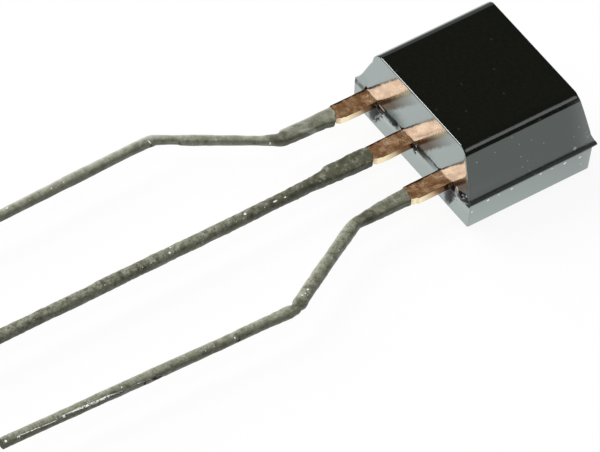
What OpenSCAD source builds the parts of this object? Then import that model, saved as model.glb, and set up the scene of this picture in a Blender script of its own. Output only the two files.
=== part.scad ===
// Small-signal transistor: a slim flat moulded body with three leads from one end.
// The back face lies on Z = 0, the leads run towards -Y and the front face looks up.
// Millimetres throughout.

/* [Body] */
// Width across the body at its parting line
body_w = 4.0; // [3.7:0.05:4.4]
// Length of the body at its parting line
body_l = 3.0; // [2.8:0.05:3.4]
// Height of the back half, from the back face to the parting line
back_h = 0.70; // [0.6:0.02:0.9]
// Height of the front half, from the parting line to the front face
front_h = 1.10; // [1.0:0.02:1.3]
// Width of the front face, measured to its corners before they are rounded
front_w = 3.02; // [2.8:0.02:3.4]
// Draft that lets the body leave its mould
draft = 2.5; // [1:0.5:6]
// Radius of the two long edges of the front face
front_edge_r = 0.28; // [0.12:0.02:0.36]
// Radius of every short edge of the front and back faces
small_edge_r = 0.04; // [0.02:0.01:0.08]
// Step at each side, where the front half is narrower than the back half
side_land = 0.09; // [0.04:0.01:0.14]
// The same step at the lead end
lead_end_land = 0.08; // [0.04:0.01:0.14]
// The same step at the far end
far_end_land = 0.04; // [0.02:0.01:0.10]

/* [Flash] */
// How far the moulding flash stands out of the parting line
flash_reach = 0.03; // [0.01:0.01:0.06]
// Thickness of the flash
flash_t = 0.04; // [0.02:0.01:0.08]
// Width of the stub left where the moulding gate broke off
gate_w = 0.34; // [0.2:0.02:0.6]
// How far the gate stub stands out of the far end
gate_reach = 0.12; // [0.06:0.01:0.2]
// How far the gate stub climbs the front half
gate_rise = 0.26; // [0.1:0.02:0.4]

/* [Lead frame] */
// Distance between neighbouring leads where they leave the body
lead_pitch = 1.27; // [1.2:0.01:1.32]
// Sideways slip of the lead frame in the mould
frame_shift = -0.18; // [-0.2:0.01:0.1]
// Thickness of the copper sheet
lead_t = 0.18; // [0.14:0.01:0.2]
// Width of a lead beside the body
strip_w = 0.42; // [0.36:0.01:0.5]
// Width of a lead beyond its shoulder
core_w = 0.16; // [0.12:0.01:0.18]
// Length of each lead outside the body
lead_len = 11.2; // [9:0.1:14]
// Width of the die pad
pad_w = 1.52; // [1.3:0.02:1.6]
// Length of the die pad
pad_l = 1.50; // [1.2:0.05:1.7]
// Distance from the lead end of the body to the die pad
pad_inset = 0.62; // [0.5:0.02:0.8]
// Distance from the lead end of the body to the inner end of each side lead
post_inset = 1.50; // [1.2:0.05:2.0]
// Width of the bonding post at the inner end of each side lead
post_w = 0.50; // [0.44:0.01:0.54]
// Length of the bonding post
post_l = 0.60; // [0.5:0.05:0.8]
// Diameter of the hole by which the moulding locks each lead
lock_hole_d = 0.20; // [0.14:0.02:0.26]
// Distance from the lead end of the body to the lock holes
lock_hole_inset = 0.36; // [0.3:0.02:0.44]

/* [Lead forming] */
// Distance from the body to the bend that spreads each side lead
spread_start = 2.20; // [2.1:0.05:2.8]
// Distance from the body to the bend that straightens the left lead
left_spread_end = 4.38; // [4.1:0.02:5.2]
// Distance from the body to the bend that straightens the right lead
right_spread_end = 4.46; // [4.1:0.02:5.2]
// How far the left lead is spread outwards
left_spread = 1.38; // [1.0:0.02:1.5]
// How far the right lead is spread outwards
right_spread = 1.26; // [1.0:0.02:1.5]
// Inward lean of the left lead beyond its spread
left_lean = 1.1; // [0:0.1:2]
// Inward lean of the right lead beyond its spread
right_lean = 1.8; // [0:0.1:2]
// Radius of the lead bends, at the middle of the lead
bend_r = 0.40; // [0.3:0.05:0.6]

/* [Solder coat] */
// Length of bare copper between the body and the solder
bare_len = 0.86; // [0.7:0.02:1.0]
// Thickness of the solder over the wide part of a lead
coat_t = 0.03; // [0.02:0.005:0.04]
// Least thickness of the solder over the edges of a side lead
side_skin = 0.015; // [0.01:0.005:0.03]
// The same over the edges of the centre lead
centre_skin = 0.03; // [0.01:0.005:0.04]
// Swelling of the solder round each bend
bend_swell = 0.015; // [0.01:0.005:0.03]
// Thickness of the solder over the cut tip of a lead
tip_skin = 0.03; // [0.02:0.01:0.06]
// Distance from the body to the shoulder of the left lead
left_shoulder = 0.92; // [0.9:0.02:1.3]
// Distance from the body to the shoulder of the centre lead
centre_shoulder = 1.74; // [1.2:0.02:1.9]
// Distance from the body to the shoulder of the right lead
right_shoulder = 1.10; // [0.9:0.02:1.3]
// Length over which a lead narrows behind its shoulder
neck_l = 0.50; // [0.3:0.02:0.6]

/* [Chip and bonds] */
// Side of the square silicon die
die_side = 0.56; // [0.4:0.02:0.7]
// Thickness of the die
die_t = 0.16; // [0.1:0.01:0.2]
// Thickness of the die bond
die_bond_t = 0.03; // [0.02:0.005:0.04]
// How far the die bond spreads beyond the die
die_bond_spread = 0.04; // [0.02:0.01:0.08]
// Diameter of the gold bond wires
gold_d = 0.05; // [0.04:0.005:0.06]
// Diameter of the ball that joins a wire to the die
ball_d = 0.11; // [0.1:0.01:0.14]
// Height of that ball
ball_h = 0.04; // [0.03:0.005:0.05]
// Distance between the two balls on the die
ball_pitch = 0.26; // [0.2:0.02:0.3]
// Height of a wire's straight rise above its ball
wire_rise = 0.08; // [0.06:0.01:0.14]
// Radius of the bend at the top of a wire
wire_bend_r = 0.12; // [0.1:0.01:0.16]
// Length of the flattened stitch that joins a wire to its post
stitch_l = 0.12; // [0.1:0.01:0.16]
// Width of that stitch
stitch_w = 0.10; // [0.08:0.01:0.12]
// Thickness of that stitch
stitch_t = 0.02; // [0.02:0.005:0.03]

/* [Hidden] */

$fn = 48;
arc_steps = 10;
bend_steps = 4;
over = 1; // overrun of every cutting or clipping shape
bar_bite = 0.02; // how far a bar of solder runs into an elbow

// Body
lead_end_y = -body_l / 2;
far_end_y = body_l / 2;
parting_z = back_h;
front_z = parting_z + front_h;
front_base_w = body_w - 2 * side_land;
side_angle = atan((front_base_w - front_w) / 2 / front_h);

// Lead frame
copper_z = parting_z - lead_t;
lead_mid_z = parting_z - lead_t / 2;
pad_y = lead_end_y + pad_inset;
post_y = lead_end_y + post_inset;
left_x = frame_shift - lead_pitch;
right_x = frame_shift + lead_pitch;
tip_y = lead_end_y - lead_len;
core_diagonal = norm([core_w, lead_t]);

// Centre lines of the leads, from the end of the neck to the tip
left_line = [[left_x, lead_end_y - left_shoulder - neck_l],
             [left_x, lead_end_y - spread_start],
             [left_x - left_spread, lead_end_y - left_spread_end],
             [left_x - left_spread + (lead_len - left_spread_end) * tan(left_lean), tip_y]];
centre_line = [[frame_shift, lead_end_y - centre_shoulder - neck_l], [frame_shift, tip_y]];
right_line = [[right_x, lead_end_y - right_shoulder - neck_l],
              [right_x, lead_end_y - spread_start],
              [right_x + right_spread, lead_end_y - right_spread_end],
              [right_x + right_spread - (lead_len - right_spread_end) * tan(right_lean), tip_y]];

// Chip and bonds
die_x = frame_shift;
die_y = pad_y + pad_l / 2;
bond_z = parting_z + die_bond_t;
die_z = bond_z + die_t;
stitch_x = lead_pitch - post_w / 4;
stitch_y = post_y - post_l / 2;

// ---- Plane geometry ----

function unit(v) = v / norm(v);
function left_of(v) = [-v[1], v[0]];
function turned(v, a) = [v[0] * cos(a) - v[1] * sin(a), v[0] * sin(a) + v[1] * cos(a)];
function heading(v) = atan2(v[1], v[0]);

// Points of an arc about c, from angle a0 to a1
function arc(c, r, a0, a1) =
    [for (i = [0:arc_steps]) c + turned([r, 0], a0 + (a1 - a0) * i / arc_steps)];

// Signed angle turned at b on the way from a to c
function turn_at(a, b, c) = let (u = unit(b - a), v = unit(c - b)) atan2(cross(u, v), u * v);

// Distance from the corner b to each end of the arc that rounds it
function trim_at(a, b, c) = bend_r * tan(abs(turn_at(a, b, c)) / 2);

// Centre of the arc that rounds the corner b
function bend_centre(a, b, c) =
    b - unit(b - a) * trim_at(a, b, c)
    + left_of(unit(b - a)) * bend_r * sign(turn_at(a, b, c));

// Points of the arc that rounds the corner b
function bend_points(a, b, c) =
    let (start = b - unit(b - a) * trim_at(a, b, c), centre = bend_centre(a, b, c))
    [for (i = [0:bend_steps]) centre + turned(start - centre, turn_at(a, b, c) * i / bend_steps)];

// A line with every inner corner rounded
function rounded(p) =
    [for (i = [0:len(p) - 1])
        each (i == 0 || i == len(p) - 1) ? [p[i]] : bend_points(p[i - 1], p[i], p[i + 1])];

// Sideways step at each point of the line p that offsets the line by one unit
function side_steps(p) =
    let (last = len(p) - 1, dirs = [for (i = [0:last - 1]) unit(p[i + 1] - p[i])])
    [for (i = [0:last])
        let (a = left_of(dirs[max(i - 1, 0)]), b = left_of(dirs[min(i, last - 1)]), m = unit(a + b))
        m / (m * a)];

// Outline of a ribbon along the line p, with half width h[i] at point i
function ribbon(p, h) =
    let (last = len(p) - 1, steps = side_steps(p))
    concat([for (i = [0:last]) p[i] + steps[i] * h[i]],
           [for (i = [last:-1:0]) p[i] - steps[i] * h[i]]);

// The line p with its last point moved on by e
function lengthened(p, e) =
    let (last = len(p) - 1)
    [for (i = [0:last]) i < last ? p[i] : p[i] + unit(p[i] - p[i - 1]) * e];

// Right-hand upper corner of a section: top height z, half width x, side leaning in by s
function top_corner(x, z, r, s) = arc([x - r / tan(45 + s / 2), z - r], r, s, 90);

// The same corner at the bottom of a section
function bottom_corner(x, z, r, s) = arc([x - r / tan(45 + s / 2), z + r], r, -90, -s);

// ---- Body ----

// A section in X and Z, swept along Y past both ends of the body
module across(points) {
    translate([0, far_end_y + over, 0])
        rotate([90, 0, 0])
            linear_extrude(body_l + 2 * over)
                polygon(points);
}

// A section in Y and Z, swept along X past both sides of the body
module along(points) {
    translate([-body_w / 2 - over, 0, 0])
        rotate([90, 0, 90])
            linear_extrude(body_w + 2 * over)
                polygon(points);
}

function mirrored(points) = [for (i = [len(points) - 1:-1:0]) [-points[i][0], points[i][1]]];

module front_half() {
    right = concat([[front_base_w / 2, parting_z]],
                   top_corner(front_w / 2, front_z, front_edge_r, side_angle));
    far = concat([[far_end_y - far_end_land, parting_z]],
                 top_corner(far_end_y - far_end_land - front_h * tan(draft), front_z,
                            small_edge_r, draft));
    near = concat([[-lead_end_y - lead_end_land, parting_z]],
                  top_corner(-lead_end_y - lead_end_land - front_h * tan(draft), front_z,
                             small_edge_r, draft));
    intersection() {
        across(concat(right, mirrored(right)));
        along(concat(far, mirrored(near)));
    }
}

module back_half() {
    right = concat(bottom_corner(body_w / 2 - back_h * tan(draft), 0, small_edge_r, draft),
                   [[body_w / 2, parting_z]]);
    far = concat(bottom_corner(far_end_y - back_h * tan(draft), 0, small_edge_r, draft),
                 [[far_end_y, parting_z]]);
    intersection() {
        across(concat(right, mirrored(right)));
        along(concat(far, mirrored(far)));
    }
}

module parting_flash() {
    translate([0, 0, parting_z - flash_t])
        linear_extrude(flash_t)
            square([body_w + 2 * flash_reach, body_l + 2 * flash_reach], center = true);
}

// Wedge of plastic at the far end, beside the right-hand side
module gate_stub() {
    translate([body_w / 2 - gate_w, 0, 0])
        rotate([90, 0, 90])
            linear_extrude(gate_w)
                polygon([[far_end_y - far_end_land - gate_rise * tan(draft) - flash_t,
                          parting_z + gate_rise],
                         [far_end_y - 2 * flash_reach - gate_reach, parting_z - flash_t],
                         [far_end_y + gate_reach, parting_z - flash_t],
                         [far_end_y + gate_reach, parting_z]]);
}

module moulded_body() {
    color([0.13, 0.13, 0.12])
        difference() {
            union() {
                back_half();
                front_half();
                parting_flash();
                intersection() {
                    gate_stub();
                    across([[front_base_w / 2, parting_z],
                            [body_w / 2, parting_z - flash_t],
                            [-body_w / 2, parting_z - flash_t],
                            [-front_base_w / 2, parting_z],
                            [-front_w / 2, front_z],
                            [front_w / 2, front_z]]);
                }
            }
            emitter_lead();
            collector_lead();
            base_lead();
            die_bond();
            silicon_die();
            emitter_wire();
            base_wire();
        }
}

// ---- Lead frame ----

module copper_sheet() {
    translate([0, 0, copper_z])
        linear_extrude(lead_t)
            children();
}

// One flat lead with its lock hole; children are what it carries inside the body
module copper_lead(x, inner_y, shoulder, line) {
    bent = rounded(line);
    color([0.72, 0.45, 0.29])
        difference() {
            union() {
                copper_sheet()
                    polygon(ribbon(concat([[x, inner_y], [x, lead_end_y - shoulder]], bent),
                                   concat([strip_w, strip_w] / 2, [for (p = bent) core_w / 2])));
                copper_sheet()
                    children();
            }
            translate([x, lead_end_y + lock_hole_inset, copper_z - over])
                cylinder(h = lead_t + 2 * over, d = lock_hole_d);
        }
}

// Bonding post of a side lead, widened towards the die pad
module bonding_post(x, inward) {
    translate([x + inward * (post_w - strip_w) / 2 - post_w / 2, post_y - post_l])
        square([post_w, post_l]);
}

module emitter_lead() {
    copper_lead(left_x, post_y, left_shoulder, left_line)
        bonding_post(left_x, 1);
}

module collector_lead() {
    copper_lead(frame_shift, pad_y + pad_l / 2, centre_shoulder, centre_line)
        translate([frame_shift - pad_w / 2, pad_y])
            square([pad_w, pad_l]);
}

module base_lead() {
    copper_lead(right_x, post_y, right_shoulder, right_line)
        bonding_post(right_x, -1);
}

// ---- Solder coat ----

// Round bar from a to b in the plane of the leads
module bar(a, b, d1, d2) {
    translate([a[0], a[1], lead_mid_z])
        rotate([0, 0, heading(b - a)])
            rotate([0, 90, 0])
                cylinder(h = norm(b - a), d1 = d1, d2 = d2);
}

// Round elbow at the corner b
module elbow(a, b, c, d) {
    turn = turn_at(a, b, c);
    centre = bend_centre(a, b, c);
    start = b - unit(b - a) * trim_at(a, b, c);
    translate([centre[0], centre[1], lead_mid_z])
        rotate([0, 0, heading(start - centre) + min(turn, 0)])
            rotate_extrude(angle = abs(turn))
                translate([bend_r, 0])
                    circle(d = d);
}

// Round wire along a line. Its bars run a little way into the swollen elbow at each bend.
module round_wire(p, d) {
    last = len(p) - 1;
    trims = [for (i = [0:last])
        (i == 0 || i == last) ? 0 : trim_at(p[i - 1], p[i], p[i + 1]) - bar_bite];
    for (i = [0:last - 1]) {
        dir = unit(p[i + 1] - p[i]);
        bar(p[i] + dir * trims[i], p[i + 1] - dir * trims[i + 1], d, d);
    }
    for (i = [1:1:last - 1])
        elbow(p[i - 1], p[i], p[i + 1], d + bend_swell);
}

// Solder over the wide strip, narrowing to the round wire of diameter d
module collar(x, shoulder, skin, d) {
    start_y = lead_end_y - bare_len;
    shoulder_y = lead_end_y - shoulder;
    end_y = shoulder_y - neck_l;
    wide = strip_w / 2 + coat_t;
    narrow = core_w / 2 + skin / 2;
    thick = lead_t / 2 + coat_t;
    thin = lead_t / 2 + skin / 2;
    intersection() {
        linear_extrude(front_z)
            polygon([[x - wide, start_y], [x - wide, shoulder_y], [x - narrow, end_y],
                     [x + narrow, end_y], [x + wide, shoulder_y], [x + wide, start_y]]);
        translate([x - wide - over, 0, lead_mid_z])
            rotate([90, 0, 90])
                linear_extrude(2 * (wide + over))
                    polygon([[start_y, -thick], [shoulder_y, -thick], [end_y, -thin],
                             [end_y, thin], [shoulder_y, thick], [start_y, thick]]);
    }
    bar([x, shoulder_y], [x, end_y], lead_t + coat_t, d);
}

module solder(x, shoulder, line, skin) {
    d = core_diagonal + 2 * skin;
    color([0.52, 0.53, 0.48])
        union() {
            collar(x, shoulder, skin, d);
            round_wire(lengthened(line, tip_skin), d);
        }
}

module emitter_solder() {
    difference() {
        solder(left_x, left_shoulder, left_line, side_skin);
        emitter_lead();
    }
}

module collector_solder() {
    difference() {
        solder(frame_shift, centre_shoulder, centre_line, centre_skin);
        collector_lead();
    }
}

module base_solder() {
    difference() {
        solder(right_x, right_shoulder, right_line, side_skin);
        base_lead();
    }
}

// ---- Chip and bonds ----

module die_bond() {
    side = die_side + 2 * die_bond_spread;
    color([0.70, 0.70, 0.72])
        translate([die_x - side / 2, die_y - side / 2, parting_z])
            cube([side, side, die_bond_t]);
}

module silicon_die() {
    color([0.30, 0.32, 0.38])
        translate([die_x - die_side / 2, die_y - die_side / 2, bond_z])
            cube([die_side, die_side, die_t]);
}

// Gold wire from the die to the post on one side, -1 for left and 1 for right
module bond_wire(side) {
    from = [die_x + side * ball_pitch / 2, die_y];
    to = [die_x + side * stitch_x, stitch_y];
    span = norm(to - from);
    top_z = die_z + ball_h + wire_rise;
    drop = top_z - parting_z - stitch_t / 2;
    // Downward slope of the straight run that leaves the bend and ends at the stitch
    reach = span - wire_bend_r;
    slope = atan2(drop, reach) + asin(wire_bend_r / norm([reach, drop]));
    run = sqrt(pow(reach, 2) + pow(drop, 2) - pow(wire_bend_r, 2));
    color([0.86, 0.68, 0.30])
        translate([from[0], from[1], 0])
            rotate([0, 0, heading(to - from)])
                intersection() {
                    union() {
                        translate([0, 0, die_z])
                            cylinder(h = ball_h, d = ball_d);
                        translate([0, 0, die_z])
                            cylinder(h = ball_h + wire_rise, d = gold_d);
                        translate([wire_bend_r, 0, top_z])
                            rotate([90, 0, 0])
                                rotate([0, 0, 90 - slope])
                                    rotate_extrude(angle = 90 + slope)
                                        translate([wire_bend_r, 0])
                                            circle(d = gold_d);
                        translate([wire_bend_r, 0, top_z])
                            rotate([0, slope, 0])
                                translate([0, 0, wire_bend_r])
                                    rotate([0, 90, 0])
                                        cylinder(h = run, d = gold_d);
                        translate([span - stitch_l / 2, -stitch_w / 2, parting_z])
                            cube([stitch_l, stitch_w, stitch_t]);
                    }
                    translate([-over, -over, parting_z])
                        cube([span + 2 * over, 2 * over, front_h]);
                }
}

module emitter_wire() {
    bond_wire(-1);
}

module base_wire() {
    bond_wire(1);
}

moulded_body();
emitter_lead();
collector_lead();
base_lead();
emitter_solder();
collector_solder();
base_solder();
silicon_die();
die_bond();
emitter_wire();
base_wire();
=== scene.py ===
"""Dresses a small moulded transistor: a black resin body on three copper leads dipped in solder.

Lengths are in millimetres and are turned into metres when a mesh, lamp or camera is made.
Colours are linear red, green and blue.
"""
import functools
import math
from collections import namedtuple

import bmesh
import bpy
import numpy as np
from mathutils import Matrix, Vector


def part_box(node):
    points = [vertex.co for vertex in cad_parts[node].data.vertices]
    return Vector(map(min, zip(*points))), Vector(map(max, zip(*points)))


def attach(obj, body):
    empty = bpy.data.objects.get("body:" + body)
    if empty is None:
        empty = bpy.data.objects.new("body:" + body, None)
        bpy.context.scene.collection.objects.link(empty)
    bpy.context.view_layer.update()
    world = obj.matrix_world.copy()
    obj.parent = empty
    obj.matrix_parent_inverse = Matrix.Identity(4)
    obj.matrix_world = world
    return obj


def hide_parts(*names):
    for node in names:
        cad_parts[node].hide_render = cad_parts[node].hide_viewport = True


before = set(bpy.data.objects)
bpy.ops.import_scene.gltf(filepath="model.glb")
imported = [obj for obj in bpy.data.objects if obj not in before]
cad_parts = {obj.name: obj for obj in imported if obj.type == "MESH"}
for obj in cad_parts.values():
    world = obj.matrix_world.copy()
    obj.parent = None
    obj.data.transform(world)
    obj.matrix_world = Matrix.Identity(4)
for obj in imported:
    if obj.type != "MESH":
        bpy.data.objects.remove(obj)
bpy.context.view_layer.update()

MM = 0.001
WELD = 1e-5 * MM
SEED = 92


def box_mm(node):
    """Lowest and highest corner of a CAD node, in millimetres."""
    low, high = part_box(node)
    return np.array(low) / MM, np.array(high) / MM


# ---- Sizes read from the frame ----
BODY_LOW, BODY_HIGH = box_mm("moulded_body")
LEAD_LOW, LEAD_HIGH = box_mm("collector_lead")
FLASH_REACH = 0.03
HALF_W = BODY_HIGH[0] - FLASH_REACH
LEAD_END_Y = BODY_LOW[1] + FLASH_REACH
FAR_END_Y = -LEAD_END_Y
FRONT_Z = BODY_HIGH[2]
PARTING_Z = LEAD_HIGH[2]
LEAD_T = LEAD_HIGH[2] - LEAD_LOW[2]
LEAD_MID_Z = PARTING_Z - LEAD_T / 2
TIP_Y = box_mm("collector_solder")[0][1]

# ---- Body ----
FRONT_HALF_W = 1.51
DRAFT = math.tan(math.radians(2.5))
SIDE_LAND = 0.09
LEAD_END_LAND = 0.08
FAR_END_LAND = 0.04
FRONT_EDGE_R = 0.28
SMALL_EDGE_R = 0.04
END_EDGE_R = 0.032
SIDE_ROUND_R = 0.065
CORNER_R = 0.03
FLASH_T = 0.04
GATE_W = 0.34
GATE_REACH = 0.12
GATE_RISE = 0.36
WALL_LEAN = 0.045
BEVEL_H = 0.12
BEVEL_OUT = 0.024
# How far the left side flares: over its height, beside the parting line and under the front face
LEFT_FLARE = 0.05
LEFT_FLARE_LOW = 0.04
LEFT_FLARE_TOP = 0.03
FAR_FLARE = 0.1
FILLET_H = 0.12
FILLET_OUT = 0.012
BULGE_START_Z = 0.35
# How far the body's rim goes in and down under a lead, and the foot of its wall down behind the lead
TUCK_IN = 0.01
TUCK_DOWN = 0.05
FOOT_DOWN = 0.03
# How deep in the wall the edge of a drop starts
DROP_IN = 0.03
# X and size of the back half's top bevel across the lead end. It is sharp where it meets a lead
BEVEL_SIZES = [
    (-1.24, 0), (-1.21, 0.9), (-1.05, 1.25), (-0.52, 0.95), (-0.4, 0), (0.03, 0), (0.07, 0.6),
    (0.3, 0.6), (0.72, 0.4), (0.87, 0), (1.31, 0), (1.36, 0.8), (1.7, 0.9), (1.95, 0.6),
]

# ---- Marks on the body ----
# Each mark is its centre across and up, length, width, turn from +X in degrees, and strength if that isn't 1
# Drops beside the leads. They bulge the lead-end wall and darken it: partly residue, partly painted shade below
# and beside the leads
DROPS_AND_SHADE = [
    (-1.26, 0.36, 0.66, 0.34, 62), (-1.06, 0.5, 0.34, 0.14, 62), (0.11, 0.58, 0.26, 0.15, 60),
    (1.32, 0.36, 0.66, 0.3, 70), (1.46, 0.5, 0.32, 0.16, 60, 0.8), (1.7, 0.67, 0.26, 0.15, 10),
]
# Painted shade on the lead end by its right corner, where the wall mirrors dark
DIMMED = [
    (1.6, 0.79, 0.84, 0.28, 56, 0.8), (1.8, 0.84, 0.62, 0.3, 72, 0.8), (1.62, 0.66, 0.6, 0.14, 5, 0.7),
]
# Painted glints on the lead end
GLINTS = [
    (-1.08, 0.665, 0.2, 0.035, -5, 0.7), (-1.1, 0.44, 0.3, 0.05, 62, 0.4),
    (-1.2, 0.28, 0.22, 0.035, 75, 0.35), (0.12, 0.68, 0.08, 0.03, 0, 0.9), (0.16, 0.56, 0.07, 0.03, 40, 0.7),
    (1.51, 0.69, 0.15, 0.04, -35, 0.8), (1.78, 0.73, 0.08, 0.05, 60, 0.9), (1.53, 0.61, 0.24, 0.07, -50, 0.35),
    (1.74, 0.575, 0.4, 0.03, 25, 0.3), (-1.63, 1.46, 0.04, 0.03, 0), (-1.88, 0.68, 0.07, 0.05, 60, 0.3),
]
# Y, Z and length of the specks of flash on the +X side, painted white so they show as glints
SPECK_GLINTS = [
    (-1.06, 0.59, 0.07), (-0.48, 0.58, 0.06), (0.22, 0.61, 0.06), (0.82, 0.57, 0.08), (1.2, 0.52, 0.07),
    (-1.44, 0.46, 0.05), (1.12, 0.745, 0.085), (0.5, 0.6, 0.04), (-0.8, 0.6, 0.04),
]
# How strong the painted dark line and the painted shade above it are across the lead end, where 0 is X = -2 and
# 1 is X = 2
LINE_PLACES = [
    (0, 0.75), (0.08, 0.75), (0.1, 0), (0.18, 0), (0.2, 1), (0.36, 1), (0.4, 0), (0.5, 0),
    (0.52, 1), (0.61, 0.85), (0.65, 0.4), (0.7, 0.3), (0.73, 0), (0.81, 0), (0.83, 1),
]
PAINTED_SHADE_PLACES = [(0.18, 0), (0.26, 0.9), (0.33, 0.9), (0.41, 0.4), (0.47, 0), (0.5, 0), (0.54, 0.5), (0.68, 0)]
# How the painted line and the painted shade fade upwards, where 0 is Z = 0.5 and 1 is Z = 1.2
LINE_HEIGHTS = [(0.1, 0), (0.16, 1), (0.28, 1), (0.36, 0)]
PAINTED_SHADE_HEIGHTS = [(0.28, 0), (0.3, 0.85), (0.42, 0.72), (0.53, 0.45), (0.64, 0.22), (0.76, 0.08), (0.86, 0)]
# The painted brown reflection beside each lead leans by this much X for each Z, like the lead's mirror image
BROWN_REFLECTION_SLOPE = 0.84

# ---- Leads ----
LEAD_PITCH = 1.27
LEAD_SHIFT = -0.18
LEAD_X = [LEAD_SHIFT + i * LEAD_PITCH for i in (-1, 0, 1)]
STRIP_HALF_W = 0.21
BARE_LEN = 0.86
EDGE_WEAR = 0.04
DENT = 0.005
CORE_SHRINK = 0.42
CUT_STEP = 0.03

# Each solder coat: how light and mottled it is, how strong its painted sheen on the left side is, how many
# painted glint dots it has, the height of its lumps, how much darker it grows towards the body and the Y where
# that is full and gone, and marks in the same form as the body's: painted glints, streaks of painted glint, and
# dark and pale marks
LOOKS = {
    "emitter": {
        "shade": 0.95, "mottle": 0.35, "sheen": 0.45, "glint_dots": 0.06, "lump": 0.0025, "root_darkening": (0.45, -3.4, -3.8),
        "painted_glints": [(-2.75, -5.94, 0.13, 0.03, 25), (-1.5, -3.91, 0.05, 0.03, 90),
                   (-2.79, -9.33, 0.05, 0.035, 90)],
        "dark": [(-1.52, -3.68, 0.6, 0.3, 60, 0.75), (-1.42, -2.98, 0.16, 0.1, 120, 0.5),
                 (-1.55, -3.2, 0.22, 0.08, 70, 0.5)],
        "pale": [(-2.93, -5.9, 0.6, 0.26, 62, 0.55), (-1.36, -3.1, 0.4, 0.08, 75, 0.4)],
    },
    "collector": {
        "shade": 0.8, "mottle": 0.75, "sheen": 0, "glint_dots": 0.16, "lump": 0.006, "root_darkening": (0.8, -3.4, -6.5),
        "painted_glints": [
            (-0.16, -5.44, 0.06, 0.05, 90), (-0.125, -4.74, 0.11, 0.03, 90), (-0.11, -4.51, 0.05, 0.02, 90),
            (-0.21, -7.2, 0.04, 0.035, 90), (-0.12, -7.27, 0.045, 0.04, 90),
        ],
    },
    "base": {
        "shade": 0.88, "mottle": 0.55, "sheen": 0.15, "glint_dots": 0.12, "lump": 0.004, "root_darkening": (0.5, -3.4, -3.9),
        "painted_glints": [
            (2.11, -5.51, 0.06, 0.035, 60), (2.18, -5.69, 0.05, 0.03, 40), (2.17, -5.61, 0.035, 0.03, 20),
            (2.37, -7.41, 0.07, 0.03, 10), (2.4, -7.34, 0.09, 0.03, 75), (2.33, -9.52, 0.05, 0.03, 86),
            (2.235, -11.36, 0.07, 0.05, 86), (2.21, -12.39, 0.06, 0.045, 86), (2.175, -12.67, 0.06, 0.045, 86),
        ],
        "streaks": [(2.262, -10.62, 1.55, 0.042, 86.5), (2.222, -11.9, 1.2, 0.016, 86.5),
                    (2.325, -9.45, 0.8, 0.016, 86)],
        "dark": [(2.26, -5.9, 0.34, 0.26, 70, 0.7), (1.16, -3.36, 0.34, 0.3, 80, 0.6),
                 (2.05, -5.45, 0.3, 0.1, 60, 0.4)],
    },
}

# ---- Colours ----
RESIN = {
    # The drop colour is partly residue and partly painted shade below and beside the leads
    "dark": (0.0025, 0.0028, 0.0016), "light": (0.0065, 0.007, 0.0042), "drop": (0.007, 0.006, 0.008),
    # The second colour on the next line makes a lighter band along the sides at the parting line, and the third
    # a paler far end of the +X side
    "dust": (0.3, 0.31, 0.29), "rough band": (0.04, 0.043, 0.041), "worn": (0.19, 0.195, 0.18),
    # White for specks of flash, so they show as painted glints
    "speck_glint": (0.97, 0.96, 0.98),
}
# Tints of the resin's reflections. The first is the plain surface. The second dims it as painted shade above
# the lead end's seam, the third dims it on the drops, partly as painted shade, and the last turns it brown as a
# painted reflection of each lead's shaded side
GLOSS = {
    "clean": (0.88, 1.0, 0.98), "painted_shade": (0.1, 0.115, 0.11), "drop": (0.055, 0.045, 0.055),
    "brown_reflection": (0.42, 0.24, 0.15),
}
# Copper colours. The last three hold painted light: the pale of the sheared sides is partly a painted
# reflection of the floor, and the last two are painted shade near the body and on the rounded -X top edges
COPPER = {
    "dark": (0.46, 0.22, 0.093), "plain": (0.65, 0.35, 0.168), "light": (0.86, 0.53, 0.3),
    "streak": (0.34, 0.15, 0.06), "grain": (1.0, 0.72, 0.44), "burr": (0.16, 0.06, 0.02),
    "sheared_with_painted_reflection": (1.0, 0.83, 0.56), "root_shade": (0.32, 0.13, 0.045), "rolled_edge_shade": (0.035, 0.019, 0.01),
}
SOLDER_TONES = [(0.3, 0.31, 0.22), (0.43, 0.44, 0.33), (0.54, 0.55, 0.45)]
SOLDER = {
    # The first colour on the next line darkens the solder towards the body
    "root_darkening": (0.085, 0.087, 0.052), "dark patch": (0.055, 0.056, 0.034), "pale patch": (0.62, 0.62, 0.52),
    # The two side colours on the next line are painted shade and painted light
    "grain": (0.09, 0.09, 0.06), "shaded right side": (0.08, 0.08, 0.06), "lit left side": (0.8, 0.8, 0.76),
    "tip": (0.05, 0.05, 0.04), "dark mark": (0.07, 0.074, 0.045), "pale mark": (0.66, 0.66, 0.62),
    # White for the painted glints
    "painted_glints": (0.98, 0.98, 0.94),
}
WORLD = (0.016, 0.0162, 0.0135)
PAPER = (0.93, 0.93, 0.93)
MIRRORED_PAPER = (0.94, 1.0, 0.985)
WHITE = (1.0, 1.0, 1.0)

# ---- Studio ----
# Where the floor starts and ends to fade in mirrored rays, and its strength at both places
FADE_AWAY = (2.3, 5.2, 1, 0.22)
FADE_AHEAD = (4.5, 10, 1, 0.3)
GLOW_SHARE = 0.9
# Direction, distance, size and radiance of each lamp, and whether the part mirrors it
LAMPS = {
    "front_soft_box": ((-0.52, -0.57, 0.635), 300, 110, 3.9, True),
    "far_soft_box": ((0.6, 0.41, 0.68), 300, 90, 0.3, True),
    "left_card": ((-0.88, 0.41, 0.22), 300, 240, 0.12, True),
    "left_soft_box": ((-0.8, -0.15, 0.58), 400, 320, 4.9, False),
    "overhead_fill": ((0.1, -0.1, 1), 500, 500, 2.0, False),
}


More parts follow.
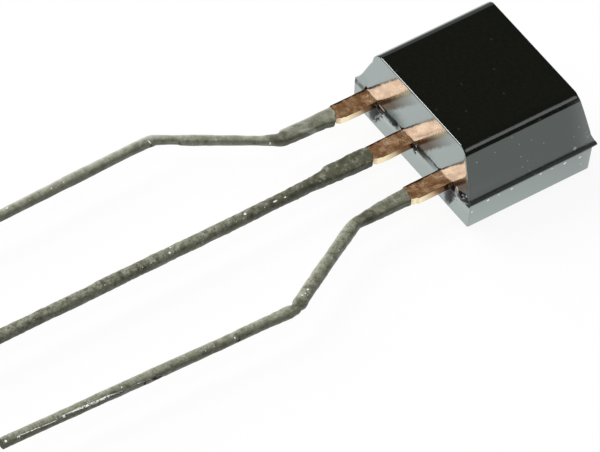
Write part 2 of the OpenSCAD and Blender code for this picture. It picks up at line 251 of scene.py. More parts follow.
# ---- Noise ----
def lattice(ijk, seed):
    """A repeatable value from 0 to 1 at each whole-number point."""
    h = ijk[..., 0] * 374761393 + ijk[..., 1] * 668265263 + ijk[..., 2] * 2147483647 + seed * 1274126177
    h = (h ^ (h >> 13)) * 1103515245 & 0xFFFFFFFF
    h = (h ^ (h >> 16)) * 2654435761 & 0xFFFFFFFF
    return ((h ^ (h >> 15)) & 0xFFFFFF) / 0xFFFFFF


def noise(points, size, seed):
    """Smooth noise from -1 to 1 whose lumps are about size across."""
    p = np.asarray(points, float) / size
    cell = np.floor(p).astype(np.int64)
    f = p - cell
    f = f * f * f * (f * (f * 6 - 15) + 10)
    total = np.zeros(p.shape[:-1])
    for corner in np.ndindex(2, 2, 2):
        weight = np.prod(np.where(corner, f, 1 - f), axis=-1)
        total += weight * lattice(cell + np.array(corner), seed + SEED)
    return 2 * total - 1


def fractal(points, size, seed, octaves=3):
    """Noise with smaller and smaller lumps added."""
    return sum(noise(points, size / 2 ** i, seed + 17 * i) / 2 ** i for i in range(octaves))


def step(value, start, length):
    """A soft step up from 0 to 1, from start and over a length."""
    t = np.clip((value - start) / length, 0, 1)
    return t * t * (3 - 2 * t)


def fading(t):
    """From 1 at 0 to 0 at 1."""
    return np.clip(1 - t, 0, 1)


# ---- Meshes ----
def linked(name, data):
    """A new object in the scene."""
    item = bpy.data.objects.new(name, data)
    bpy.context.scene.collection.objects.link(item)
    return item


def new_mesh(name, verts, faces, material):
    """A smooth object made of verts in millimetres."""
    mesh = bpy.data.meshes.new(name)
    mesh.from_pydata((np.asarray(verts) * MM).tolist(), [], faces)
    mesh.validate()
    mesh.shade_smooth()
    mesh.materials.append(material)
    return linked(name, mesh)


def dress(piece, node):
    """Makes a piece ride with the part and stand for a CAD node, which it hides."""
    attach(piece, "root")
    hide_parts(node)


def paint(mesh, material):
    """Gives a CAD mesh or a copy of one a new material."""
    mesh.materials.clear()
    mesh.materials.append(material)


def wrap_faces(rings, around):
    """Quads between each ring of points and the next."""
    k = np.arange(rings - 1)[:, None] * around
    i = np.arange(around)[None, :]
    j = (i + 1) % around
    quads = np.stack(np.broadcast_arrays(k + i, k + j, k + j + around, k + i + around), axis=-1)
    return quads.reshape(-1, 4)


# ---- Materials ----
# The way that the solder's painted glint facets face: halfway between the camera and the front soft box, so
# they catch its light
FACET = (0.0, -0.57, 0.82)
# The Mix node's A, B and result. Each type of data has its own, under the same names
MIX_SOCKETS = {"RGBA": (6, 7, 2), "VECTOR": (4, 5, 1)}


class Shader:
    """A material's node tree, with short ways to add its nodes."""

    def __init__(self, name):
        self.material = bpy.data.materials.new(name)
        self.material.use_nodes = True
        self.tree = self.material.node_tree
        self.surface = self.tree.nodes["Principled BSDF"]
        place = self.add("TexCoord").outputs["Object"]
        self.place = self.add("Mapping", Vector=place, Scale=(1 / MM,) * 3).outputs[0]

    def put(self, socket, value):
        """Links a node or a socket to a socket, or sets the socket's own value."""
        if isinstance(value, bpy.types.Node):
            value = value.outputs[0]
        if isinstance(value, bpy.types.NodeSocket):
            self.tree.links.new(value, socket)
        elif isinstance(value, tuple) and socket.type == "RGBA":
            socket.default_value = (*value, 1)
        else:
            socket.default_value = value

    def add(self, kind, **inputs):
        """A node of a kind, with its inputs by name."""
        item = self.tree.nodes.new("ShaderNode" + kind)
        for name, value in inputs.items():
            self.put(item.inputs[name.replace("_", " ")], value)
        return item

    def noise(self, scale, detail=3, roughness=0.5, where=None):
        """Noise from 0 to 1 with a number of lumps in each millimetre."""
        item = self.add("TexNoise", Vector=where or self.place, Scale=scale, Detail=detail, Roughness=roughness)
        return item.outputs["Fac"]

    def ramp(self, fac, *stops):
        """Colours, or numbers for greys, blended between stops."""
        item = self.add("ValToRGB", Fac=fac)
        points = item.color_ramp.elements
        while len(points) < len(stops):
            points.new(0.5)
        for point, (place, colour) in zip(points, stops):
            point.position = place
            point.color = (*colour, 1) if isinstance(colour, tuple) else (colour, colour, colour, 1)
        return item.outputs["Color"]

    def ranged(self, value, low, high, to_low=0, to_high=1):
        """A value carried from one range to another, and held at its ends."""
        item = self.add("MapRange", Value=value, From_Min=low, From_Max=high, To_Min=to_low, To_Max=to_high)
        return item.outputs[0]

    def maths(self, operation, a, b=0):
        """A Math node for one number or two."""
        item = self.add("Math")
        item.operation = operation
        self.put(item.inputs[0], a)
        self.put(item.inputs[1], b)
        return item.outputs[0]

    def plus(self, a, b):
        return self.maths("ADD", a, b)

    def minus(self, a, b):
        return self.maths("SUBTRACT", a, b)

    def times(self, *values):
        return functools.reduce(functools.partial(self.maths, "MULTIPLY"), values)

    def most(self, *values):
        return functools.reduce(functools.partial(self.maths, "MAXIMUM"), values)

    def mix(self, fac, a, b, kind="RGBA"):
        """From a to b as fac goes from 0 to 1."""
        item = self.add("Mix")
        item.data_type = kind
        first, second, result = MIX_SOCKETS[kind]
        self.put(item.inputs["Factor"], fac)
        self.put(item.inputs[first], a)
        self.put(item.inputs[second], b)
        return item.outputs[result]

    def layered(self, tone, *layers):
        """A tone with more laid over it, each a mask and its colour."""
        for mask, colour in layers:
            tone = self.mix(mask, tone, colour)
        return tone

    def split(self, vector):
        return tuple(self.add("SeparateXYZ", Vector=vector).outputs)

    def axes(self):
        """The object's x, y and z in millimetres."""
        return self.split(self.place)

    def facing(self):
        """How far the surface faces +X, +Y and +Z."""
        return self.split(self.add("NewGeometry").outputs["Normal"])

    def spots(self, scale, share, radius, u, v):
        """Dots in a share of cells that are 1 / scale across, on the plane of u and v."""
        cells = self.add("TexVoronoi", Vector=self.add("CombineXYZ", X=u, Y=v), Scale=scale)
        cells.voronoi_dimensions = "2D"
        chosen = self.add("SeparateColor", Color=cells.outputs["Color"]).outputs["Red"]
        near = self.ranged(cells.outputs["Distance"], radius * 0.6, radius, 1, 0)
        return self.times(near, self.maths("LESS_THAN", chosen, share))

    def mark(self, u, v, centre_u, centre_v, length, width, turn):
        """A soft oval mark on the plane of u and v, its length turned by an angle from u."""
        du, dv = self.minus(u, centre_u), self.minus(v, centre_v)
        c, s = math.cos(math.radians(turn)), math.sin(math.radians(turn))
        along = self.plus(self.times(du, c * 2 / length), self.times(dv, s * 2 / length))
        aside = self.minus(self.times(dv, c * 2 / width), self.times(du, s * 2 / width))
        return self.ranged(self.plus(self.times(along, along), self.times(aside, aside)), 0.6, 1.2, 1, 0)

    def marks(self, u, v, places):
        """The strongest of many marks at each point."""
        return self.most(0, *[self.times(self.mark(u, v, *place[:5]), *place[5:]) for place in places])

    def bump(self, *layers, facets=None):
        """Bumps laid over each other, each a height and its depth in millimetres. Facets all face one way."""
        normal = None
        for height, depth in layers:
            item = self.add("Bump", Height=height, Strength=1, Distance=depth * MM)
            if normal:
                self.put(item.inputs["Normal"], normal)
            normal = item.outputs[0]
        if facets:
            normal = self.mix(facets, normal, FACET, "VECTOR")
        self.put(self.surface.inputs["Normal"], normal)

    def finish(self, **inputs):
        """Sets the surface's inputs and gives the material."""
        for name, value in inputs.items():
            self.put(self.surface.inputs[name.replace("_", " ")], value)
        return self.material


def drops_and_shade_masks(s, x, z, ragged, at_end):
    """Marks on the lead end: drops beside the leads, partly residue and partly painted shade, and a painted
    dark line with painted shade above it and by the right corner.
    """
    torn = s.ranged(s.noise(12, 3, 0.6), 0.3, 0.7, -0.05, 0.05)
    drops = s.times(s.marks(s.plus(x, torn), s.minus(z, torn), DROPS_AND_SHADE), at_end)
    across = s.ranged(x, -2, 2)
    height = s.ranged(s.plus(z, ragged), 0.5, 1.2)
    line = s.times(s.ramp(height, *LINE_HEIGHTS), s.ramp(across, *LINE_PLACES))
    painted_shade = s.times(s.ramp(height, *PAINTED_SHADE_HEIGHTS), s.ramp(across, *PAINTED_SHADE_PLACES))
    return drops, s.times(s.most(line, painted_shade, s.marks(x, z, DIMMED)), at_end)


def brown_reflection_mask(s, x, z, ragged, at_end):
    """A painted reflection on the lead end: a brown band to the right of each lead, fading upwards, for the
    lead's shaded side mirrored in the wall.
    """
    right_of = s.minus(x, s.times(s.minus(z, PARTING_Z), BROWN_REFLECTION_SLOPE))
    right_of = s.plus(s.minus(right_of, LEAD_X[0] + STRIP_HALF_W), ragged)
    beneath = s.maths("MODULO", s.plus(right_of, 0.03), LEAD_PITCH)
    band = s.ramp(beneath, (0.02, 0), (0.07, 0.9), (0.31, 0.9), (0.4, 0))
    return s.times(band, s.ranged(z, 1.0, 1.7, 1, 0.15), at_end, s.ranged(z, 0.66, 0.72))


def speck_glint_mask(s, x, y, z, at_side, at_end):
    """Specks of flash on the +X side, most of them below the parting line, painted white so they show as
    glints, and painted glints on the lead end.
    """
    low = s.times(s.spots(7.0, 0.1, 0.09, y, z), s.ranged(z, PARTING_Z - 0.3, PARTING_Z))
    placed = s.marks(y, z, [(along, up, size, size * 0.7, 20) for along, up, size in SPECK_GLINTS])
    speck_glints = s.times(s.most(low, s.spots(1.7, 0.25, 0.028, y, z), placed), at_side)
    return s.most(speck_glints, s.times(s.marks(x, z, GLINTS), at_end))


def resin_material():
    """Glossy black resin with dust, specks of flash painted white as glints, a lighter band and a paler far end
    on its sides, and on the lead end drops of residue, painted shade and a painted brown reflection.
    """
    s = Shader("black_resin")
    x, y, z = s.axes()
    facing_x, _, facing_z = s.facing()
    cloud, mottle = s.noise(1.6, 3), s.noise(9, 4, 0.6)
    at_side = s.ranged(facing_x, 0.7, 0.8)
    at_end = s.times(s.ranged(y, LEAD_END_Y + 0.16, LEAD_END_Y + 0.12),
                     s.ranged(facing_x, 0.35, 0.75, 1, 0))
    # Painted glints: white metallic specks of flash on the +X side, and glints on the lead end
    speck_glints = speck_glint_mask(s, x, y, z, at_side, at_end)
    ragged = s.ranged(s.noise(11, 3), 0.3, 0.7, -0.03, 0.03)
    # Drops beside the leads, partly residue and partly painted shade, and painted shade along the lead end's
    # seam
    drops, painted_shade = drops_and_shade_masks(s, x, z, ragged, at_end)
    shade_and_drops = s.most(painted_shade, drops)
    # A painted reflection: a brown band beside each lead, for the lead's shaded side mirrored in the wall
    brown_reflection = brown_reflection_mask(s, x, z, ragged, at_end)
    dust = s.times(s.spots(3.1, 0.16, 0.1, x, y), s.ranged(facing_z, 0.9, 0.99, 0, 0.07))
    # A lighter, rougher band along the sides at the parting line
    edge = HALF_W - SIDE_LAND
    rough_band = s.times(s.ranged(s.maths("ABSOLUTE", x), edge - 0.03, edge),
                    s.ramp(s.ranged(z, 0.5, 1.0), (0.24, 0), (0.38, 1), (0.42, 1), (0.48, 0)))
    # Paler towards the far end of the +X side
    worn = s.times(s.maths("POWER", s.ranged(y, 1.0, 1.5), 2), at_side)
    tone = s.ramp(s.noise(14, 5, 0.6), (0.35, RESIN["dark"]), (0.7, RESIN["light"]))
    tone = s.layered(tone, (drops, RESIN["drop"]), (dust, RESIN["dust"]), (rough_band, RESIN["rough band"]),
                     (worn, RESIN["worn"]), (speck_glints, RESIN["speck_glint"]))
    # Painted shade and a painted brown reflection: the reflections on the lead end are dimmed or turned brown
    tint = s.layered(GLOSS["clean"], (shade_and_drops, s.mix(drops, GLOSS["painted_shade"], GLOSS["drop"])),
                     (brown_reflection, GLOSS["brown_reflection"]))
    dull = s.most(speck_glints, shade_and_drops, rough_band, brown_reflection)
    s.bump((cloud, 0.002), (mottle, 0.0012), (s.noise(60, 2), 0.0002))
    return s.finish(Base_Color=tone, Metallic=speck_glints, IOR=2.9, Specular_IOR_Level=0.5, Specular_Tint=tint,
                    Roughness=s.most(s.ranged(mottle, 0.3, 0.7, 0.09, 0.18), s.times(rough_band, 0.5)),
                    Coat_Weight=s.ranged(dull, 0, 1, 1, 0), Coat_IOR=2.4, Coat_Roughness=0.11)


def copper_material():
    """Copper sheet, with painted shade on its rounded -X top edges and on its +X sides near the body, and
    sheared sides made pale, partly their own colour and partly a painted reflection of the floor.
    """
    s = Shader("bare_copper")
    x, y, _ = s.axes()
    facing_x, _, facing_z = s.facing()
    streaks = s.noise(1, 4, 0.6, s.add("Mapping", Vector=s.place, Scale=(20, 4, 20)).outputs[0])
    blotch, grain = s.noise(8, 4, 0.55), s.noise(26, 4, 0.6)
    burr = s.times(s.ranged(facing_x, 0.12, 0.3), s.ranged(facing_z, 0.3, 0.5), 0.75)
    # Both sides of each strip are pale: sheared copper, with a painted reflection of the white floor laid into
    # its colour
    sheared_with_painted_reflection = s.ranged(s.maths("ABSOLUTE", facing_x), 0.75, 0.95)
    # Painted shade on the +X sides near the body, where they mirror shade
    root_shade = s.times(s.ranged(facing_x, 0.5, 0.8),
                      s.ranged(y, LEAD_END_Y - 0.7, LEAD_END_Y - 0.25, 0, 0.95))
    # Painted shade on the rounded top edge of each strip's -X side, for the dark sky it mirrors
    from_edge = s.maths("PINGPONG", s.minus(x, LEAD_X[1] - STRIP_HALF_W), LEAD_PITCH / 2)
    from_edge = s.plus(from_edge, s.ranged(blotch, 0.3, 0.7, -0.02, 0.02))
    rolled_edge_shade = s.times(s.ranged(from_edge, 0.035, 0.06, 1, 0), s.ranged(facing_z, 0.05, 0.15))
    tone = s.ramp(blotch, (0.38, COPPER["dark"]), (0.5, COPPER["plain"]), (0.62, COPPER["light"]))
    tone = s.layered(tone, (s.ranged(streaks, 0.55, 0.75, 0, 0.35), COPPER["streak"]),
                     (s.ranged(grain, 0.6, 0.7, 0, 0.7), COPPER["grain"]), (burr, COPPER["burr"]),
                     (sheared_with_painted_reflection, COPPER["sheared_with_painted_reflection"]), (root_shade, COPPER["root_shade"]), (rolled_edge_shade, COPPER["rolled_edge_shade"]))
    dull = s.most(sheared_with_painted_reflection, rolled_edge_shade, root_shade)
    s.bump((blotch, 0.0022), (streaks, 0.0008), (grain, 0.0018))
    return s.finish(Base_Color=tone, Specular_IOR_Level=0.3,
                    Metallic=s.times(s.ranged(sheared_with_painted_reflection, 0, 1, 0.68, 1), s.ranged(rolled_edge_shade, 0, 1, 1, 0.2)),
                    Roughness=s.ranged(blotch, 0.3, 0.7, 0.16, 0.26),
                    Coat_Weight=s.ranged(dull, 0, 1, 0.9, 0), Coat_IOR=2.25, Coat_Roughness=0.13)


def solder_material(name, look):
    """Dull grey solder over a lead, with painted shade on its right side, painted light on its left, and
    painted glints: white facets turned to catch the front lamp.
    """
    s = Shader(name)
    x, y, _ = s.axes()
    facing_x, facing_y, _ = s.facing()
    blotch, grain, patches = s.noise(4.5, 5, 0.65), s.noise(22, 5, 0.7), s.noise(8, 4, 0.65)
    tones = [tuple(c * look["shade"] for c in colour) for colour in SOLDER_TONES]
    root_darkening, darkest_y, undarkened_y = look["root_darkening"]
    mottle = look["mottle"]
    uneven = s.ranged(patches, 0.36, 0.56, 0.5, 1)
    tone = s.layered(
        s.ramp(blotch, *zip((0.34, 0.52, 0.7), tones)),
        # Darker towards the body
        (s.ranged(y, undarkened_y, darkest_y, 0, root_darkening), SOLDER["root_darkening"]),
        (s.ranged(patches, 0.5, 0.66, 0, mottle), SOLDER["dark patch"]),
        (s.ranged(patches, 0.46, 0.32, 0, mottle * 0.6), SOLDER["pale patch"]),
        (s.ranged(grain, 0.5, 0.62, 0, mottle), SOLDER["grain"]),
        # Painted shade on the side facing +X, and painted light on the side facing -X
        (s.ranged(facing_x, 0.45, 0.95, 0, 0.6), SOLDER["shaded right side"]),
        (s.ranged(facing_x, 0.1, -0.6, 0, look["sheen"]), SOLDER["lit left side"]),
        (s.ranged(facing_y, -0.6, -0.8, 0, 0.85), SOLDER["tip"]),
        (s.times(uneven, s.marks(x, y, look.get("dark", []))), SOLDER["dark mark"]),
        (s.times(uneven, s.marks(x, y, look.get("pale", []))), SOLDER["pale mark"]),
    )
    # Painted glints: white dots on the right half of the wire short of its edge, listed marks and broken
    # streaks, each a facet turned to catch the front lamp
    seen = s.times(s.ranged(facing_x, 0.1, 0.3), s.ranged(facing_x, 0.78, 0.86, 1, 0))
    glint_dots = s.most(s.spots(3.6, look["glint_dots"], 0.065, x, y), s.spots(9.5, look["glint_dots"], 0.1, x, y))
    broken = s.ranged(s.noise(15, 4, 0.7), 0.38, 0.48)
    painted_glints = s.most(s.times(glint_dots, seen), s.marks(x, y, look["painted_glints"]),
                    s.times(broken, s.marks(x, y, look.get("streaks", []))))
    s.bump((blotch, 0.006), (grain, 0.0015 + 0.004 * mottle), facets=painted_glints)
    tone = s.mix(painted_glints, tone, SOLDER["painted_glints"])
    return s.finish(Base_Color=tone, Metallic=s.ranged(painted_glints, 0, 1, 0.25, 1),
                    Roughness=s.ranged(painted_glints, 0, 1, 0.42, 0.46), Specular_IOR_Level=0.3)


def silicon_material():
    """For the die."""
    s = Shader("silicon")
    swirl = s.noise(9, 3)
    tone = s.ramp(swirl, (0.35, (0.07, 0.08, 0.11)), (0.65, (0.13, 0.14, 0.18)))
    s.bump((s.noise(50, 2), 0.0003))
    return s.finish(Base_Color=tone, Metallic=0.6, Roughness=s.ranged(swirl, 0.3, 0.7, 0.12, 0.22))


def bond_material():
    """For the bond under the die."""
    s = Shader("silver_paste")
    flakes = s.noise(40, 4, 0.7)
    tone = s.ramp(flakes, (0.35, (0.42, 0.42, 0.43)), (0.65, (0.72, 0.72, 0.73)))
    s.bump((flakes, 0.002))
    return s.finish(Base_Color=tone, Metallic=0.8, Roughness=s.ranged(flakes, 0.3, 0.7, 0.35, 0.6))


def gold_material():
    """For the bond wires."""
    s = Shader("gold_wire")
    drawn = s.noise(30, 4, 0.6)
    tone = s.ramp(drawn, (0.35, (0.8, 0.52, 0.16)), (0.65, (0.95, 0.7, 0.3)))
    s.bump((drawn, 0.0006))
    return s.finish(Base_Color=tone, Metallic=1, Roughness=s.ranged(drawn, 0.3, 0.7, 0.15, 0.28))


# ---- Resin body ----
def side_half_width(z):
    """Half width of the front half at height z, before its long edges are rounded."""
    t = (z - PARTING_Z) / (FRONT_Z - PARTING_Z)
    return HALF_W - SIDE_LAND + t * (FRONT_HALF_W - HALF_W + SIDE_LAND)


def rounded_top(z, r, wall, slope):
    """How far out a wall is at height z, where its top edge has radius r. slope is its lean per unit height."""
    lean = math.atan(slope)
    middle = wall(FRONT_Z) - r / math.tan(math.pi / 4 + lean / 2)
    start = FRONT_Z - r + r * math.sin(lean)
    if z <= start:
        return wall(z)
    rise = min((z - FRONT_Z + r) / r, 1)
    return middle + r * math.sqrt(max(1 - rise * rise, 0))


def end_wall(land):
    """How far out an end wall of the front half is, as a function of height."""
    return lambda z: FAR_END_Y - land - (z - PARTING_Z) * DRAFT


def body_levels():
    """Rings from the back face to the front face: height, half width, lead end, far end and kind."""
    levels = []
    for a in np.linspace(0, math.pi / 2, 7):
        round_in = SMALL_EDGE_R * (1 - math.sin(a))
        inset = round_in + (PARTING_Z - SMALL_EDGE_R) * DRAFT
        z = SMALL_EDGE_R * (1 - math.cos(a))
        levels.append((z, HALF_W - inset, LEAD_END_Y + round_in, FAR_END_Y - inset, "back"))
    flash_foot = PARTING_Z - FLASH_T - 0.005
    for t in np.linspace(0, 1, 24)[1:] ** 0.6:
        z = SMALL_EDGE_R + (flash_foot - SMALL_EDGE_R) * t
        inset = (PARTING_Z - z) * DRAFT
        levels.append((z, HALF_W - inset, LEAD_END_Y, FAR_END_Y - inset, "back"))
    for a in np.radians(np.linspace(-60, 90, 9)):
        out = FLASH_REACH * max(math.cos(a), 0)
        z = PARTING_Z - FLASH_T * (0.5 - 0.5 * math.sin(a))
        levels.append((z, HALF_W + out, LEAD_END_Y - out, FAR_END_Y + out, "flash"))
    for share in (0.12, 0.3, 0.5, 0.7, 0.9):
        levels.append((PARTING_Z, HALF_W - share * SIDE_LAND, LEAD_END_Y + share * LEAD_END_LAND,
                       FAR_END_Y - share * FAR_END_LAND, "ledge"))
    slope = (HALF_W - SIDE_LAND - FRONT_HALF_W) / (FRONT_Z - PARTING_Z)
    arc_start = FRONT_Z - FRONT_EDGE_R * (1 - math.sin(math.atan(slope)))
    foot = [PARTING_Z + 0.25 * t * t for t in np.linspace(0.13, 1, 14)]
    wall = list(np.linspace(PARTING_Z + 0.29, arc_start - 0.02, 22))
    big = [FRONT_Z - FRONT_EDGE_R * (1 - math.cos(a)) for a in np.radians(np.linspace(69, 40, 8))]
    small = [FRONT_Z - END_EDGE_R * (1 - math.cos(a)) for a in np.linspace(math.pi / 2, 0, 12)]
    for z in foot + wall + big + small:
        half = rounded_top(z, FRONT_EDGE_R, side_half_width, slope)
        far = rounded_top(z, END_EDGE_R, end_wall(FAR_END_LAND), DRAFT)
        near = rounded_top(z, END_EDGE_R, end_wall(LEAD_END_LAND), DRAFT)
        levels.append((z, half, -near, far, "front"))
    return levels


def across_places():
    """Places across the body, from -1 to 1, closer together beside the leads."""
    x = np.linspace(-HALF_W, HALF_W, 4000)
    near = np.min([np.abs(x - c) for c in LEAD_X], axis=0)
    density = 1 / np.where(near < 0.34, 0.016, 0.04) + 40 * (HALF_W - np.abs(x) < 0.06)
    total = np.cumsum(density)
    total = (total - total[0]) / (total[-1] - total[0])
    return np.interp(np.linspace(0, 1, 187), total, x) / HALF_W


def along_places():
    """Places along the body, from -1 to 1, closer together at the corners."""
    t = np.linspace(-1, 1, 84)
    return 0.85 * t + 0.15 * np.sin(t * math.pi / 2)


def rounded_rim(xs, ys, half, near, far):
    """Points round a rectangle with rounded corners, starting at its lead end on the left."""
    mid, half_l = (near + far) / 2, (far - near) / 2
    p = np.array([(x * half, -half_l) for x in xs[:-1]] + [(half, y * half_l) for y in ys[:-1]])
    p = np.vstack([p, -p])
    reach = 2 * CORNER_R
    inner = np.array([half, half_l]) - CORNER_R
    dx, dy = half - np.abs(p[:, 0]), half_l - np.abs(p[:, 1])
    close = (dx < reach) & (dy < reach)
    angle = (1 + np.where(dx <= 1e-9, -dy, dx) / reach) * math.pi / 4
    bent = (inner + CORNER_R * np.stack([np.cos(angle), np.sin(angle)], axis=-1)) * np.sign(p)
    return np.where(close[:, None], bent, p) + (0, mid)


def cap_grid(rim, nx, ny):
    """A grid whose edge is the rim, filled in by a Coons patch."""
    low, right = rim[:nx + 1], rim[nx:nx + ny + 1]
    top, left = rim[nx + ny:2 * nx + ny + 1][::-1], np.vstack([rim[2 * nx + ny:], rim[:1]])[::-1]
    u = np.linspace(0, 1, nx + 1)[None, :, None]
    v = np.linspace(0, 1, ny + 1)[:, None, None]
    edges = (1 - v) * low[None] + v * top[None] + (1 - u) * left[:, None] + u * right[:, None]
    corners = (1 - u) * (1 - v) * low[0] + u * (1 - v) * low[-1] + (1 - u) * v * top[0] + u * v * top[-1]
    return edges - corners


def cap_faces(first, nx, ny, inside, turned):
    """Quads of a grid cap. first is the rim's first vertex and inside the first one within it."""
    index = np.zeros((ny + 1, nx + 1), int)
    index[0, :] = first + np.arange(nx + 1)
    index[:, nx] = first + nx + np.arange(ny + 1)
    index[ny, ::-1] = first + nx + ny + np.arange(nx + 1)
    index[1:, 0] = (first + 2 * nx + ny + np.arange(ny))[::-1]
    index[0, 0] = first
    index[1:-1, 1:-1] = inside + np.arange((nx - 1) * (ny - 1)).reshape(ny - 1, nx - 1)
    quads = np.stack([index[:-1, :-1], index[:-1, 1:], index[1:, 1:], index[1:, :-1]], axis=-1).reshape(-1, 4)
    return quads[:, ::-1] if turned else quads


def over_leads(x):
    """1 where x is over a lead, 0 elsewhere."""
    return np.max([step(STRIP_HALF_W - np.abs(x - c), 0, 0.02) for c in LEAD_X], axis=0)


def residue_dome(x, z):
    """How far the drops beside the leads stand out, in shares of their reach."""
    total = np.zeros_like(x)
    for cx, cz, length, width, turn, *_ in DROPS_AND_SHADE:
        c, s = math.cos(math.radians(turn)), math.sin(math.radians(turn))
        along, aside = (x - cx) * c + (z - cz) * s, (z - cz) * c - (x - cx) * s
        total = np.maximum(total, 1 - (2 * along / length) ** 2 - (2 * aside / width) ** 2)
    return np.sqrt(np.maximum(total, 0))


def flared_left(x, z):
    """X with the left side flared towards the ledge's edge."""
    off = np.abs(z - PARTING_Z)
    flare = LEFT_FLARE * fading(off) + LEFT_FLARE_LOW * fading(off / 0.15) ** 1.5
    return np.maximum(x - step(-x, 1.1, 0.35) * (flare + LEFT_FLARE_TOP * step(z, 1.5, 0.1)), -HALF_W)


def flared_right(x, y, z):
    """Y with the far end of the front half flared at its right corner."""
    height = np.clip((FRONT_Z - 0.08 - z) / 0.8, 0, 1) ** 0.8
    return y + FAR_FLARE * step(x, 0.5, 1.0) * (y > 0.9) * height * step(y, 1.2, 0.2)


def gate_stub(x, y, z, ripple):
    """Y with the stub of the moulding gate at the far right corner."""
    wall = FAR_END_Y - FAR_END_LAND
    low = z - PARTING_Z
    rise = fading(low / GATE_RISE) * (low > -FLASH_T - 0.002)
    size = step(x, HALF_W - GATE_W, 0.12) * (y > wall - 0.04) * rise
    reach = wall + (FAR_END_LAND + GATE_REACH) * size * (0.95 + 0.05 * ripple)
    return np.where(size > 0, np.maximum(y, reach), y)


def roughen_body(p, kind):
    """Gives the plain rings their uneven forms. kind says what part of the body each point is on."""
    x, y, z = p.T
    wander = fractal(p * (1, 1, 0), 0.45, 3, 2)
    ripple = noise(p * (1, 1, 0), 0.13, 5)
    flash, ledge, front, back = (kind == k for k in ("flash", "ledge", "front", "back"))
    low = z - PARTING_Z
    wall_y = LEAD_END_Y + LEAD_END_LAND
    at_end = y < wall_y + 0.12
    worn = np.clip(0.35 + 0.35 * wander + 0.15 * ripple, 0.1, 1)
    edge = np.sign(x) * HALF_W
    x = np.where(flash & (np.abs(x) > HALF_W), edge + (x - edge) * worn, x)
    y = np.where(flash & (y > FAR_END_Y), FAR_END_Y + (y - FAR_END_Y) * worn, y)
    x = np.where(front | ledge | (flash & at_end), flared_left(x, z), x)

    # The lean of the lead-end wall, and the bevel and bulge of the back half below it
    size = np.interp(x, *zip(*BEVEL_SIZES)) * (1 + 0.12 * ripple)
    height = BEVEL_H * size + 0.004
    inset = (LEAD_END_LAND - WALL_LEAN - 0.002) * np.minimum(size, 1)
    spread = (LEAD_END_LAND - WALL_LEAN - inset) * step(-x, 1.62, 0.08)
    lean = WALL_LEAN * fading(low / (FRONT_Z - PARTING_Z)) + spread * fading(low / 0.25)
    y = np.where(front & at_end, y - lean, y)
    upwards = np.clip((z - BULGE_START_Z) / (PARTING_Z - height - BULGE_START_Z), 0, 1)
    bulge = BEVEL_OUT * np.minimum(size, 1) * upwards ** 2
    bevelled = LEAD_END_Y - bulge + (inset + bulge) * fading(-low / height)
    y = np.where((back | flash) & (y < LEAD_END_Y + 0.01), bevelled, y)

    # The back half's rounded top edge along the sides
    turn = np.arcsin(fading(-low / SIDE_ROUND_R))
    rounded = HALF_W - SIDE_ROUND_R * (1 - np.cos(turn))
    x = np.where((back | flash) & (np.abs(x) > rounded), np.sign(x) * rounded, x)
    x = np.where(ledge, np.clip(x, SIDE_ROUND_R - HALF_W, HALF_W - SIDE_ROUND_R), x)

    # The ledge, which is tucked in under the wall where a lead comes out
    foot_y = wall_y - WALL_LEAN - spread
    share = np.clip((y - LEAD_END_Y) / LEAD_END_LAND, 0, 1)
    y = np.where(ledge & at_end, LEAD_END_Y + inset + share * (foot_y - inset - LEAD_END_Y), y)
    covered = over_leads(x) * (y < wall_y)
    rim = (flash | ledge) & (y < wall_y)
    y = np.where(rim, y + covered * (foot_y + TUCK_IN - y), y)
    z = np.where(rim, z - TUCK_DOWN * covered, z)
    z = np.where(front & (low < 0.02) & at_end, z - FOOT_DOWN * covered, z)

    # The fillet at the foot of the sides, the drops of residue and the far right corner
    side = front & (np.abs(x) > side_half_width(z) - 0.02)
    x = np.where(side, x + np.sign(x) * FILLET_OUT * fading(low / (FILLET_H + 0.03 * wander)) ** 2, x)
    dome = residue_dome(x, z)
    drop_y = LEAD_END_Y + DROP_IN - (FLASH_REACH + DROP_IN) * dome
    y = np.where((dome > 0) & at_end, np.minimum(y, drop_y), y)
    y = gate_stub(x, np.where(front, flared_right(x, y, z), y), z, ripple)
    return np.stack([x, y, z], axis=-1)


def resin_body(material):
    """The moulding, with its walls as rings and its two faces as grids."""
    xs, ys = across_places(), along_places()
    nx, ny = len(xs) - 1, len(ys) - 1
    around = 2 * (nx + ny)
    rings, kinds = [], []
    for z, half, near, far, kind in body_levels():
        rings.append(np.column_stack([rounded_rim(xs, ys, half, near, far), np.full(around, z)]))
        kinds += [kind] * around
    count = len(rings)
    walls = roughen_body(np.vstack(rings), np.array(kinds))
    caps = [cap_grid(ring, nx, ny)[1:-1, 1:-1].reshape(-1, 3) for ring in (walls[:around], walls[-around:])]
    verts = np.vstack([walls] + caps)
    faces = np.vstack([
        wrap_faces(count, around),
        cap_faces(0, nx, ny, len(walls), True),
        cap_faces(len(walls) - around, nx, ny, len(walls) + len(caps[0]), False),
    ])
    swell = 0.0012 * fractal(verts, 0.9, 11, 2) + 0.0003 * noise(verts, 0.11, 12)
    verts = verts + np.column_stack([swell, swell, np.where(verts[:, 2] > 0.1, swell, np.abs(swell))])
    verts = np.clip(verts, BODY_LOW, BODY_HIGH)
    dress(new_mesh("resin_body", verts, faces.tolist(), material), "moulded_body")


# ---- Copper leads ----
def cut(work, faces, axis, place):
    """Cuts faces where X, axis 0, or Y, axis 1, is at a place."""
    normal = Vector((axis == 0, axis == 1, 0))
    geom = list(dict.fromkeys(item for f in faces for item in (*f.verts, *f.edges, f)))
    bmesh.ops.bisect_plane(work, geom=geom, plane_co=normal * (place * MM), plane_no=normal, dist=WELD)


